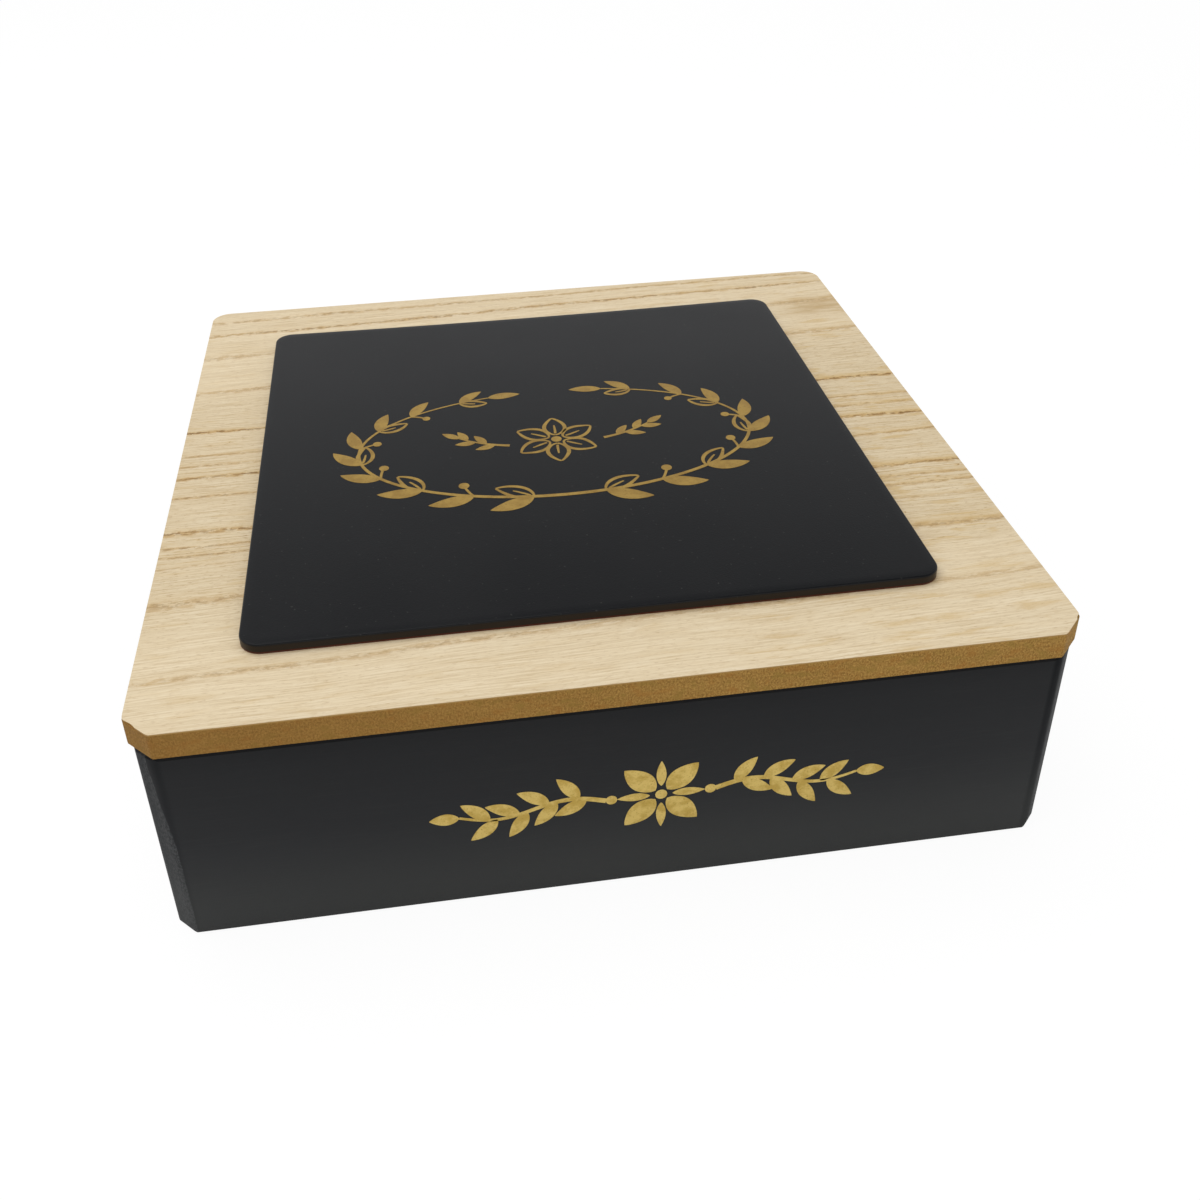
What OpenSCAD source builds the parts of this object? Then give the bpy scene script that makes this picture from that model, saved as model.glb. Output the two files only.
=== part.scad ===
// Hinged storage box with a grid of square compartments, a veneered lid and a raised plaque.
// The origin is under the middle of the lid, on the surface that the box stands on. Front is -Y, +Z is up.

/* [Box] */
// Outer width of the box, left to right
box_w = 238; // [200:0.5:300]
// Outer depth of the box, front to back
box_d = 235; // [200:0.5:300]
// Height of the walls
wall_h = 62.3; // [50:0.1:110]
// Thickness of the walls
wall_t = 8; // [7:0.5:12]
// How much of the front corners is cut off at 45 degrees
box_corner_cut = 5.4; // [4:0.1:9]
// Radius that softens both edges of the cut front corners
box_cut_r = 5; // [1:0.5:6]
// Radius of the rear corners
box_rear_r = 6.5; // [3:0.5:10]
// Rounding of the lower outer edge
base_round = 1.1; // [0.5:0.1:2]
// Bevel along the upper outer edge of the front and the sides
rim_bevel = 1.4; // [0.5:0.1:2]
// How far the side walls run into the front and back walls
corner_rebate = 4; // [2:0.5:5]

/* [Bottom panel] */
// Thickness of the bottom panel
bottom_t = 3; // [2:0.5:6]
// Width of the ledge under the walls that the bottom panel fills
bottom_ledge = 4; // [2:0.5:5]

/* [Dividers] */
// Thickness of the dividers
divider_t = 3; // [2:0.5:5]
// Height of the dividers above the bottom panel
divider_h = 52; // [30:1:54]
// Depth of the wall grooves that hold the dividers
groove_depth = 2; // [1:0.5:3]
// Clearance of a divider on each side, in its groove and at its cross laps
divider_play = 0.05; // [0.02:0.01:0.2]

/* [Lid] */
// Thickness of the lid board without its veneer
lid_core_t = 7.3; // [6:0.1:12]
// Thickness of the veneer on top of the lid
veneer_t = 0.5; // [0.3:0.1:1]
// How much of the front corners of the lid is cut off at 45 degrees
lid_corner_cut = 6.8; // [3:0.2:12]
// Radius that softens both edges of the cut corners of the lid
lid_cut_r = 1.5; // [0.5:0.1:6]
// Radius of the rear corners of the lid
lid_rear_r = 6.5; // [3:0.5:14]
// How far the lid stands out over each side wall
side_overhang = 1; // [0:0.25:4]
// How far the lid stands out over the front wall
front_overhang = 1; // [0:0.25:6]
// How far the lid stands out over the back wall
rear_overhang = 4; // [3.5:0.25:8]
// Gap between the closed lid and the walls
lid_gap = 0.3; // [0.2:0.05:0.8]
// Bevel round the lower edge of the lid board
lid_bevel = 0.2; // [0.2:0.1:1]

/* [Plaque] */
// Thickness of the plaque on the lid
plaque_t = 3; // [2:0.5:6]
// Border of bare lid round the plaque
plaque_border = 27.6; // [12:0.1:50]
// Radius of the plaque corners
plaque_corner_r = 6; // [2:0.5:15]
// Bevel round the upper edge of the plaque
plaque_bevel = 0.3; // [0.1:0.1:1]
// How far the plaque sits off the middle of the lid, to the left
plaque_left = 1.8; // [0:0.1:6]
// How far the plaque sits off the middle of the lid, to the front
plaque_forward = 1.9; // [0:0.1:6]

/* [Hinges] */
// Length of each hinge
hinge_len = 30; // [20:1:50]
// Distance from the side of the box to the middle of each hinge
hinge_inset = 45; // [32:1:70]
// Thickness of the hinge leaves
leaf_t = 0.8; // [0.6:0.1:1.2]
// Width of a leaf, from the back of the box inwards
leaf_w = 6.8; // [6:0.1:7]
// Outer radius of the knuckles
knuckle_r = 1.6; // [1.4:0.1:2]
// Number of knuckles on each hinge
knuckle_count = 5; // [3:2:7]
// Gap between neighbouring knuckles
knuckle_gap = 0.2; // [0.1:0.05:0.4]
// Radius of the hinge pin
pin_r = 0.8; // [0.6:0.05:1]
// Running clearance between the pin and the knuckles
pin_play = 0.05; // [0.02:0.01:0.1]
// Radius of the peened heads of the pin
pin_head_r = 1.25; // [1.2:0.05:1.4]
// Thickness of the peened heads of the pin
pin_head_t = 0.5; // [0.3:0.1:1]
// Opening angle of the lid
open_angle = 100; // [92:1:108]
// Room left between the lid and the back wall when the lid is fully open
stop_gap = 0.25; // [0.1:0.05:0.5]

/* [Screws] */
// Radius of the screw shanks
screw_r = 0.9; // [0.7:0.05:1.2]
// Radius of the countersunk heads
screw_head_r = 1.7; // [1.5:0.05:2]
// Length of the screws in the back wall
box_screw_len = 9; // [6:0.5:16]
// Length of the screws in the lid
lid_screw_len = 6; // [4:0.5:6.5]
// Distance between the two screws of a leaf
screw_pitch = 18; // [8:1:20]
// Clearance round the screws
screw_play = 0.04; // [0.02:0.01:0.08]
// Width of the driver slots
slot_w = 0.5; // [0.3:0.1:0.8]
// Depth of the driver slots
slot_depth = 0.3; // [0.2:0.05:0.4]

/* [Hidden] */
$fn = 64;

// room added to a cutting shape so that it runs past the surface it cuts
over = 1;

// the grid of compartments; each of its dividers has a node of its own
columns = 3;
rows = 3;

// lid and box in plan: the lid is centred on the origin
lid_w = box_w + 2 * side_overhang;
lid_d = box_d + front_overhang + rear_overhang;
front_y = -lid_d / 2 + front_overhang;
back_y = front_y + box_d;
box_mid_y = (front_y + back_y) / 2;

// heights
divider_top = bottom_t + divider_h;
lid_z = wall_h + lid_gap;
veneer_z = lid_z + lid_core_t;
plaque_z = veneer_z + veneer_t;

// clear space between the walls and the size of one compartment
inner_w = box_w - 2 * wall_t;
inner_d = box_d - 2 * wall_t;
cell_w = (inner_w - (columns - 1) * divider_t) / columns;
cell_d = (inner_d - (rows - 1) * divider_t) / rows;
lap_z = bottom_t + divider_h / 2;

// hinge axis: behind the back wall, level with the middle of the gap under the lid. It lies just so far out
// that the lower rear edge of the lid comes up to the back wall at the opening angle.
axis_z = wall_h + lid_gap / 2;
axis_out = (stop_gap - rear_overhang * cos(open_angle) - lid_gap / 2 * sin(open_angle))
    / (1 - cos(open_angle));
axis_y = back_y + axis_out;
knuckle_room = 0.3;
swing_r = knuckle_r + knuckle_room;
hinge_x = box_w / 2 - hinge_inset;
pin_gap = 0.05;
barrel_len = hinge_len + 2 * (pin_head_t + pin_gap);
seat_play = 0.1;
// the screws stand midway between the inner edge of the leaf and its barrel
screw_y = back_y - (leaf_w + knuckle_r - axis_out) / 2;
pilot_extra = 0.5;
screw_point = 1.5;

// plaque in plan
plaque_w = lid_w - 2 * plaque_border;
plaque_d = lid_d - 2 * plaque_border;

// centre of divider number i along a row of cells
function divider_x(i) = (i - columns / 2) * (cell_w + divider_t);
function divider_y(i) = box_mid_y + (i - rows / 2) * (cell_d + divider_t);

// where the round between a straight side and a 45 degree cut begins and ends, as a distance from the point
// at which side and cut would meet
function soft_run(r) = r * tan(22.5);

// plan of the box and the lid, centred: round rear corners, and front corners cut at 45 degrees whose edges
// are softened by the radius r
module board_plan(w, d, cut, r, rear_r) {
    run = soft_run(r);
    slant = run / sqrt(2);
    corner = [[w / 2, d / 2 - cut - run], [w / 2 - slant, d / 2 - cut + slant],
              [w / 2 - cut + slant, d / 2 - slant], [w / 2 - cut - run, d / 2]];
    left_front = [for (p = corner) [-p.x, -p.y]];
    right_front = [for (i = [len(corner) - 1 : -1 : 0]) [corner[i].x, -corner[i].y]];
    union() {
        polygon(concat(left_front, right_front, [[w / 2, d / 2 - rear_r], [w / 2 - rear_r, d / 2],
                                                 [rear_r - w / 2, d / 2], [-w / 2, d / 2 - rear_r]]));
        for (side = [-1, 1]) {
            translate([side * (w / 2 - r), cut + run - d / 2])
                circle(r);
            translate([side * (w / 2 - cut - run), r - d / 2])
                circle(r);
            translate([side * (w / 2 - rear_r), d / 2 - rear_r])
                circle(rear_r);
        }
    }
}

// The edge of a foot is a list of points [how far in, how far up], from the outer face to the underside.
// A rounded edge has three flats, which are chords of a quarter circle of radius r.
function rounding(r) = [for (a = [0, 30, 60, 90]) r * [1 - cos(a), 1 - sin(a)]];

// section of what is cut away below such an edge. Its first and last flats run on past the faces they meet.
function foot_section(edge) =
    let (low = over / 5, n = len(edge) - 1, top_run = edge[1] - edge[0], end_run = edge[n] - edge[n - 1])
    concat([[-over, -low], edge[n] - low / end_run.y * end_run], [for (i = [n - 1 : -1 : 1]) edge[i]],
           [edge[0] - over / top_run.x * top_run]);

// wedge that shapes the foot of a straight face. It runs along X, and the board lies on its +Y side.
module foot_wedge(run, edge) {
    rotate([90, 0, 90])
        linear_extrude(height = run, center = true)
            polygon(foot_section(edge));
}

// wedge that bevels the upper edge of a straight face, whose top is at z = 0. It lies as the one above does.
module rim_wedge(run, bevel) {
    rotate([90, 0, 90])
        linear_extrude(height = run, center = true)
            polygon([[-over, over], [-over, -bevel - over], [bevel + over, over]]);
}

// the same round a rear corner of radius r. It covers the first quadrant of a circle at the origin.
module foot_cone(r, edge) {
    rotate_extrude(angle = 90)
        polygon([for (p = foot_section(edge)) [r - p.x, p.y]]);
}

// board of the plan above whose lower edge is shaped all round, standing on z = 0
module board(w, d, h, cut, r, rear_r, edge) {
    difference() {
        linear_extrude(height = h)
            board_plan(w, d, cut, r, rear_r);
        for (front = [0, 180])
            rotate([0, 0, front])
                translate([0, -d / 2, 0])
                    foot_wedge(w, edge);
        for (side = [-1, 1]) {
            translate([side * w / 2, 0, 0])
                rotate([0, 0, side * 90])
                    foot_wedge(d, edge);
            translate([side * (w - cut) / 2, (cut - d) / 2, 0])
                rotate([0, 0, side * 45])
                    foot_wedge(2 * cut, edge);
            translate([side * (w / 2 - rear_r), d / 2 - rear_r, 0])
                rotate([0, 0, side < 0 ? 90 : 0])
                    foot_cone(rear_r, edge);
        }
    }
}

// flat plate with round corners, centred in plan, standing on z = 0
module round_plate(w, d, h, r) {
    linear_extrude(height = h)
        union() {
            square([w - 2 * r, d], center = true);
            square([w, d - 2 * r], center = true);
            for (sx = [-1, 1], sy = [-1, 1])
                translate([sx * (w / 2 - r), sy * (d / 2 - r)])
                    circle(r);
        }
}

// the layer of a round plate in which its upper edge slopes in by the bevel
module bevel_layer(w, d, r, bevel) {
    straight_x = w - 2 * r;
    straight_y = d - 2 * r;
    translate([-straight_x / 2, 0, 0])
        rotate([90, 0, 90])
            linear_extrude(height = straight_x)
                polygon([[-d / 2, 0], [d / 2, 0], [d / 2 - bevel, bevel], [bevel - d / 2, bevel]]);
    translate([0, straight_y / 2, 0])
        rotate([90, 0, 0])
            linear_extrude(height = straight_y)
                polygon([[-w / 2, 0], [w / 2, 0], [w / 2 - bevel, bevel], [bevel - w / 2, bevel]]);
    for (sx = [-1, 1], sy = [-1, 1])
        translate([sx * straight_x / 2, sy * straight_y / 2, 0])
            cylinder(r1 = r, r2 = r - bevel, h = bevel);
}

// round plate with a bevel round its upper edge
module bevelled_plate(w, d, h, r, bevel) {
    union() {
        round_plate(w, d, h - bevel, r);
        translate([0, 0, h - bevel])
            bevel_layer(w, d, r, bevel);
    }
}

// the whole outside of the box, which its four walls are cut from
module box_outside() {
    translate([0, box_mid_y, 0])
        difference() {
            board(box_w, box_d, wall_h, box_corner_cut, box_cut_r, box_rear_r, rounding(base_round));
            translate([0, -box_d / 2, wall_h])
                rim_wedge(box_w, rim_bevel);
            for (side = [-1, 1]) {
                translate([side * box_w / 2, 0, wall_h])
                    rotate([0, 0, side * 90])
                        rim_wedge(box_d, rim_bevel);
                translate([side * (box_w - box_corner_cut) / 2, (box_corner_cut - box_d) / 2, wall_h])
                    rotate([0, 0, side * 45])
                        rim_wedge(2 * box_corner_cut, rim_bevel);
            }
        }
}

// block between two corners
module block(low, high) {
    translate(low)
        cube(high - low);
}

// block that the front and back walls are cut from, with the rebates for the side walls at its ends
module cross_wall_blank(outer_y, inward) {
    difference() {
        translate([0, outer_y + inward * wall_t / 2, wall_h / 2])
            cube([box_w, wall_t, wall_h], center = true);
        for (side = [-1, 1])
            translate([side * (box_w - wall_t) / 2,
                       outer_y + inward * (wall_t - (corner_rebate - over) / 2), wall_h / 2])
                cube([wall_t, corner_rebate + over, wall_h + 2 * over], center = true);
    }
}

// rebate round the lower inner edge of the walls
module bottom_seat() {
    translate([0, box_mid_y, bottom_t / 2 - over / 2])
        cube([inner_w + 2 * bottom_ledge, inner_d + 2 * bottom_ledge, bottom_t + over], center = true);
}

// upright grooves in the front and back walls for the column dividers
module column_grooves() {
    for (i = [1 : columns - 1])
        translate([divider_x(i), box_mid_y, (bottom_t + divider_top) / 2])
            cube([divider_t + 2 * divider_play, inner_d + 2 * groove_depth, divider_h + 2 * divider_play],
                 center = true);
}

// upright grooves in the side walls for the row dividers
module row_grooves() {
    for (i = [1 : rows - 1])
        translate([0, divider_y(i), (bottom_t + divider_top) / 2])
            cube([inner_w + 2 * groove_depth, divider_t + 2 * divider_play, divider_h + 2 * divider_play],
                 center = true);
}

// seats in the top of the back wall for the box leaves, with room for the turning knuckles
module box_hinge_seats() {
    for (side = [-1, 1])
        translate([side * hinge_x, 0, 0]) {
            block([-hinge_len / 2 - seat_play, back_y - leaf_w - seat_play, wall_h - leaf_t],
                  [hinge_len / 2 + seat_play, back_y + over, wall_h + over]);
            block([-barrel_len / 2 - knuckle_room, axis_y - swing_r, axis_z - swing_r],
                  [barrel_len / 2 + knuckle_room, back_y + over, wall_h + over]);
            for (s = [-1, 1])
                translate([s * screw_pitch / 2, screw_y, wall_h - box_screw_len - pilot_extra])
                    cylinder(r = screw_r + screw_play, h = box_screw_len + pilot_extra + over);
        }
}

// seats in the underside of the lid for the lid leaves, open to the rear for the barrels
module lid_hinge_seats() {
    for (side = [-1, 1])
        translate([side * hinge_x, 0, 0]) {
            block([-hinge_len / 2 - seat_play, back_y - leaf_w - seat_play, lid_z - over],
                  [hinge_len / 2 + seat_play, back_y, lid_z + leaf_t]);
            block([-barrel_len / 2 - knuckle_room, axis_y - swing_r, lid_z - over],
                  [barrel_len / 2 + knuckle_room, lid_d / 2 + over, axis_z + swing_r]);
            for (s = [-1, 1])
                translate([s * screw_pitch / 2, screw_y, lid_z - over])
                    cylinder(r = screw_r + screw_play, h = lid_screw_len + pilot_extra + over);
        }
}

module front_wall() {
    color([0.17, 0.17, 0.18])
        difference() {
            intersection() {
                box_outside();
                cross_wall_blank(front_y, 1);
            }
            bottom_seat();
            column_grooves();
        }
}

module back_wall() {
    color([0.17, 0.17, 0.18])
        difference() {
            intersection() {
                box_outside();
                cross_wall_blank(back_y, -1);
            }
            bottom_seat();
            column_grooves();
            box_hinge_seats();
        }
}

// side is -1 for the left wall and 1 for the right wall
module side_wall(side) {
    run = box_d - 2 * (wall_t - corner_rebate);
    color([0.17, 0.17, 0.18])
        difference() {
            intersection() {
                box_outside();
                translate([side * (box_w - wall_t) / 2, box_mid_y, wall_h / 2])
                    cube([wall_t, run, wall_h], center = true);
            }
            bottom_seat();
            row_grooves();
        }
}

module bottom_panel() {
    panel_w = inner_w + 2 * bottom_ledge - 2 * divider_play;
    panel_d = inner_d + 2 * bottom_ledge - 2 * divider_play;
    color([0.17, 0.17, 0.18])
        translate([0, box_mid_y, bottom_t / 2])
            cube([panel_w, panel_d, bottom_t], center = true);
}

// divider number i that runs left to right, slotted from above at each crossing
module row_divider(i) {
    run = inner_w + 2 * groove_depth - 2 * divider_play;
    color([0.17, 0.17, 0.18])
        difference() {
            translate([0, divider_y(i), bottom_t + divider_h / 2])
                cube([run, divider_t, divider_h], center = true);
            for (j = [1 : columns - 1])
                translate([divider_x(j), divider_y(i), lap_z + (divider_h / 2 + over) / 2])
                    cube([divider_t + 2 * divider_play, divider_t + 2 * over, divider_h / 2 + over],
                         center = true);
        }
}

// divider number i that runs front to back, slotted from below at each crossing
module column_divider(i) {
    run = inner_d + 2 * groove_depth - 2 * divider_play;
    color([0.17, 0.17, 0.18])
        difference() {
            translate([divider_x(i), box_mid_y, bottom_t + divider_h / 2])
                cube([divider_t, run, divider_h], center = true);
            for (j = [1 : rows - 1])
                translate([divider_x(i), divider_y(j), lap_z - (divider_h / 2 + over) / 2])
                    cube([divider_t + 2 * over, divider_t + 2 * divider_play, divider_h / 2 + over],
                         center = true);
        }
}

// pieces of the barrel along X: parity 0 keeps the end knuckles, parity 1 the ones between them.
// Drawn are the stretches that a leaf leaves free for the other leaf's knuckles.
module barrel_gaps(parity) {
    pitch = hinge_len / knuckle_count;
    for (k = [0 : knuckle_count - 1])
        if (k % 2 != parity) {
            low_end = (k == 0) ? over : knuckle_gap / 2;
            high_end = (k == knuckle_count - 1) ? over : knuckle_gap / 2;
            block([-hinge_len / 2 + k * pitch - low_end, -swing_r, -swing_r - over],
                  [-hinge_len / 2 + (k + 1) * pitch + high_end, swing_r + over, swing_r + over]);
        }
}

// cylinder along X, centred on the hinge axis
module axis_rod(r, h) {
    rotate([0, 90, 0])
        cylinder(r = r, h = h, center = true);
}

// one leaf with its knuckles, in a frame whose origin is on the hinge axis. The leaf lies below the axis for
// up = -1 and above it for up = 1, and its countersunk holes open towards the gap between the leaves.
module hinge_leaf(parity, up) {
    plate_low = (up < 0) ? -lid_gap / 2 - leaf_t : lid_gap / 2;
    hole_y = screw_y - axis_y;
    difference() {
        union() {
            block([-hinge_len / 2, -axis_out - leaf_w, plate_low],
                  [hinge_len / 2, 0, plate_low + leaf_t]);
            axis_rod(knuckle_r, hinge_len);
        }
        barrel_gaps(parity);
        axis_rod(pin_r + pin_play, hinge_len + 2 * over);
        for (s = [-1, 1])
            translate([s * screw_pitch / 2, hole_y, up * (lid_gap / 2 + leaf_t)])
                mirror([0, 0, (up > 0) ? 1 : 0])
                    countersink();
    }
}

// shape of a countersunk hole through a leaf, from its far face at z = 0 up to its open face
module countersink() {
    translate([0, 0, -over])
        cylinder(r = screw_r + screw_play, h = leaf_t + over);
    cylinder(r1 = screw_r + screw_play, r2 = screw_head_r + screw_play, h = leaf_t);
    translate([0, 0, leaf_t])
        cylinder(r = screw_head_r + screw_play, h = over);
}

// countersunk screw that points down, with the top of its head at z = 0
module screw(len) {
    difference() {
        union() {
            translate([0, 0, -leaf_t])
                cylinder(r1 = screw_r, r2 = screw_head_r, h = leaf_t);
            translate([0, 0, screw_point - len])
                cylinder(r = screw_r, h = len - screw_point - leaf_t / 2);
            translate([0, 0, -len])
                cylinder(r1 = 0, r2 = screw_r, h = screw_point);
        }
        for (turn = [0, 90])
            rotate([0, 0, turn])
                translate([0, 0, -slot_depth / 2 + over / 2])
                    cube([2 * screw_head_r - 2 * slot_w, slot_w, slot_depth + over], center = true);
    }
}

module box_leaf(side) {
    color([0.72, 0.58, 0.32])
        translate([side * hinge_x, axis_y, axis_z])
            hinge_leaf(0, -1);
}

module lid_leaf(side) {
    color([0.72, 0.58, 0.32])
        translate([side * hinge_x, axis_y, axis_z])
            hinge_leaf(1, 1);
}

module hinge_pin(side) {
    color([0.62, 0.6, 0.56])
        translate([side * hinge_x, axis_y, axis_z])
            union() {
                axis_rod(pin_r, hinge_len + 2 * pin_gap + pin_head_t);
                for (s = [-1, 1])
                    translate([s * (hinge_len / 2 + pin_gap + pin_head_t / 2), 0, 0])
                        axis_rod(pin_head_r, pin_head_t);
            }
}

module box_screws(side) {
    color([0.72, 0.58, 0.32])
        for (s = [-1, 1])
            translate([side * hinge_x + s * screw_pitch / 2, screw_y, wall_h])
                screw(box_screw_len);
}

module lid_screws(side) {
    color([0.72, 0.58, 0.32])
        for (s = [-1, 1])
            translate([side * hinge_x + s * screw_pitch / 2, screw_y, lid_z])
                mirror([0, 0, 1])
                    screw(lid_screw_len);
}

module lid_board() {
    color([0.57, 0.43, 0.24])
        difference() {
            translate([0, 0, lid_z])
                board(lid_w, lid_d, lid_core_t, lid_corner_cut, lid_cut_r, lid_rear_r, [[0, lid_bevel], [lid_bevel, 0]]);
            lid_hinge_seats();
        }
}

module lid_veneer() {
    color([0.88, 0.81, 0.67])
        translate([0, 0, veneer_z])
            linear_extrude(height = veneer_t)
                board_plan(lid_w, lid_d, lid_corner_cut, lid_cut_r, lid_rear_r);
}

module lid_plaque() {
    color([0.15, 0.15, 0.16])
        translate([-plaque_left, -plaque_forward, plaque_z])
            bevelled_plate(plaque_w, plaque_d, plaque_t, plaque_corner_r, plaque_bevel);
}

front_wall();
back_wall();
side_wall(-1);  // left_wall
side_wall(1);  // right_wall
bottom_panel();
row_divider(1);  // row_divider_front
row_divider(rows - 1);  // row_divider_rear
column_divider(1);  // column_divider_left
column_divider(columns - 1);  // column_divider_right
box_leaf(-1);  // left_hinge_box_leaf
box_leaf(1);  // right_hinge_box_leaf
hinge_pin(-1);  // left_hinge_pin
hinge_pin(1);  // right_hinge_pin
box_screws(-1);  // left_hinge_box_screws
box_screws(1);  // right_hinge_box_screws
lid_board();
lid_veneer();
lid_plaque();
lid_leaf(-1);  // left_hinge_lid_leaf
lid_leaf(1);  // right_hinge_lid_leaf
lid_screws(-1);  // left_hinge_lid_screws
lid_screws(1);  // right_hinge_lid_screws
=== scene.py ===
import math
import bpy
import numpy as np
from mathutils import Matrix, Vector


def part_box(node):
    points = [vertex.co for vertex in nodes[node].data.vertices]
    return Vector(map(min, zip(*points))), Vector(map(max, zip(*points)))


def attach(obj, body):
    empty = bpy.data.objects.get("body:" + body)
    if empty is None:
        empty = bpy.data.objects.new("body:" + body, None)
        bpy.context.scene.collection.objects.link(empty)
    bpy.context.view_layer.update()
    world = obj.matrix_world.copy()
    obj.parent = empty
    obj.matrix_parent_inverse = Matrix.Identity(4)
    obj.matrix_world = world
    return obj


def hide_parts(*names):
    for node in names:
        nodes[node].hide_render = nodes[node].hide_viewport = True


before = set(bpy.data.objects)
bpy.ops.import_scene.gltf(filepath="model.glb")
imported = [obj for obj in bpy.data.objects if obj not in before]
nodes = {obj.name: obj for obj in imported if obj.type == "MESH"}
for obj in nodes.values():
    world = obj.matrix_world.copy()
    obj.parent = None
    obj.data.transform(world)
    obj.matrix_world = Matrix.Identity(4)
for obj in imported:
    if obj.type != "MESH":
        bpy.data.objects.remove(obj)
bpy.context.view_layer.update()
mm = 0.001
print("frame loaded:", len(nodes), "nodes")


# helpers for colours, meshes and shader trees
def srgb(r, g, b):
    # a screen colour of 0..255 as the linear colour that the shader sockets want
    c = np.array([r, g, b], float) / 255
    lin = np.where(c <= 0.04045, c / 12.92, ((c + 0.055) / 1.055) ** 2.4)
    return (float(lin[0]), float(lin[1]), float(lin[2]), 1.0)


def meshObject(name, points, faces, smoothAngle=None):
    # points in millimetres, straight into the mesh in metres
    mesh = bpy.data.meshes.new(name)
    mesh.from_pydata((np.asarray(points) * mm).tolist(), [], [list(f) for f in faces])
    mesh.validate()
    if smoothAngle is not None:
        mesh.shade_smooth()
        mesh.set_sharp_from_angle(angle=math.radians(smoothAngle))
    obj = bpy.data.objects.new(name, mesh)
    bpy.context.scene.collection.objects.link(obj)
    return obj


def addNode(tree, kind, **settings):
    node = tree.nodes.new("ShaderNode" + kind)
    for key, value in settings.items():
        setattr(node, key, value)
    return node


def plug(tree, source, socket):
    if isinstance(source, bpy.types.NodeSocket):
        tree.links.new(source, socket)
    else:
        socket.default_value = source


def calc(tree, operation, a, b=0.0, clamp=False):
    node = addNode(tree, "Math", operation=operation, use_clamp=clamp)
    plug(tree, a, node.inputs[0])
    plug(tree, b, node.inputs[1])
    return node.outputs[0]


def plus(tree, a, b):
    return calc(tree, "ADD", a, b)


def minus(tree, a, b):
    return calc(tree, "SUBTRACT", a, b)


def times(tree, value, *factors):
    for factor in factors:
        value = calc(tree, "MULTIPLY", value, factor)
    return value


def shaken(tree, value, ripple, amount):
    # the value moved to and fro by a noise, which lies around 0.5
    return plus(tree, value, times(tree, minus(tree, ripple, 0.5), amount))


def step(tree, value, low, high, toLow=0.0, toHigh=1.0):
    # smooth step from toLow at low to toHigh at high
    node = addNode(tree, "MapRange", interpolation_type="SMOOTHSTEP")
    for socket, number in zip(("Value", "From Min", "From Max", "To Min", "To Max"),
                              (value, low, high, toLow, toHigh)):
        plug(tree, number, node.inputs[socket])
    return node.outputs[0]


def blend(tree, share, a, b):
    # screen colour or socket a, turned into b by the given share
    node = addNode(tree, "Mix", data_type="RGBA", blend_type="MIX", clamp_factor=True)
    plug(tree, share, node.inputs[0])
    for colour, socket in ((a, node.inputs[6]), (b, node.inputs[7])):
        plug(tree, srgb(*colour) if isinstance(colour, tuple) else colour, socket)
    return node.outputs[2]


def noise(tree, where, detail=2.0, rough=0.5, distortion=0.0):
    node = addNode(tree, "TexNoise", noise_dimensions="3D")
    plug(tree, where, node.inputs["Vector"])
    for socket, number in zip(("Scale", "Detail", "Roughness", "Distortion"),
                              (1.0, detail, rough, distortion)):
        plug(tree, number, node.inputs[socket])
    return node.outputs["Fac"]


def place(tree, stretch=(1, 1, 1), shift=(0, 0, 0)):
    # object coordinates in millimetres, stretched per axis
    coords = addNode(tree, "TexCoord")
    node = addNode(tree, "Mapping")
    plug(tree, coords.outputs["Object"], node.inputs["Vector"])
    node.inputs["Scale"].default_value = tuple(s / mm for s in stretch)
    node.inputs["Location"].default_value = shift
    return node.outputs["Vector"]


def pattern(tree, stretch, detail=2.0, rough=0.5, shift=(0, 0, 0)):
    # noise over the whole object, the finer the larger the stretch
    return noise(tree, place(tree, stretch, shift), detail, rough)


def axes(tree):
    # x, y and z of the object point in millimetres
    node = addNode(tree, "SeparateXYZ")
    plug(tree, place(tree), node.inputs[0])
    return node.outputs[0:3]


def bump(tree, shader, height, depth):
    # depth in millimetres for a height of 1
    node = addNode(tree, "Bump")
    node.inputs["Strength"].default_value = 1.0
    node.inputs["Distance"].default_value = depth * mm
    plug(tree, height, node.inputs["Height"])
    plug(tree, node.outputs["Normal"], shader.inputs["Normal"])


def newMaterial(name, specular=0.5, roughness=0.6, metallic=0.0):
    mat = bpy.data.materials.new(name)
    mat.use_nodes = True
    tree = mat.node_tree
    tree.nodes.clear()
    out = addNode(tree, "OutputMaterial")
    shader = addNode(tree, "BsdfPrincipled")
    tree.links.new(shader.outputs["BSDF"], out.inputs["Surface"])
    shader.inputs["Roughness"].default_value = roughness
    shader.inputs["Metallic"].default_value = metallic
    shader.inputs["Specular IOR Level"].default_value = specular
    return mat, tree, shader


def dress(mat, *names):
    for name in names:
        slots = nodes[name].data.materials
        slots.clear()
        slots.append(mat)


# the camera stands a little to the left and looks down
camera = {"place": (-0.041974, -0.358586, 0.277622), "turn": (58.6794, 1.0240, -8.2973),
          "lens": 38.9, "sensor": 36, "shiftX": 0.01557, "shiftY": -0.10659, "nearest": 0.01}
camData = bpy.data.cameras.new("camera")
camData.lens = camera["lens"]
camData.sensor_width = camera["sensor"]
camData.shift_x = camera["shiftX"]
camData.shift_y = camera["shiftY"]
camData.clip_start = camera["nearest"]
camObject = bpy.data.objects.new("camera", camData)
camObject.location = camera["place"]
camObject.rotation_euler = [math.radians(a) for a in camera["turn"]]
bpy.context.scene.collection.objects.link(camObject)
bpy.context.scene.camera = camObject
print("camera set")


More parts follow.
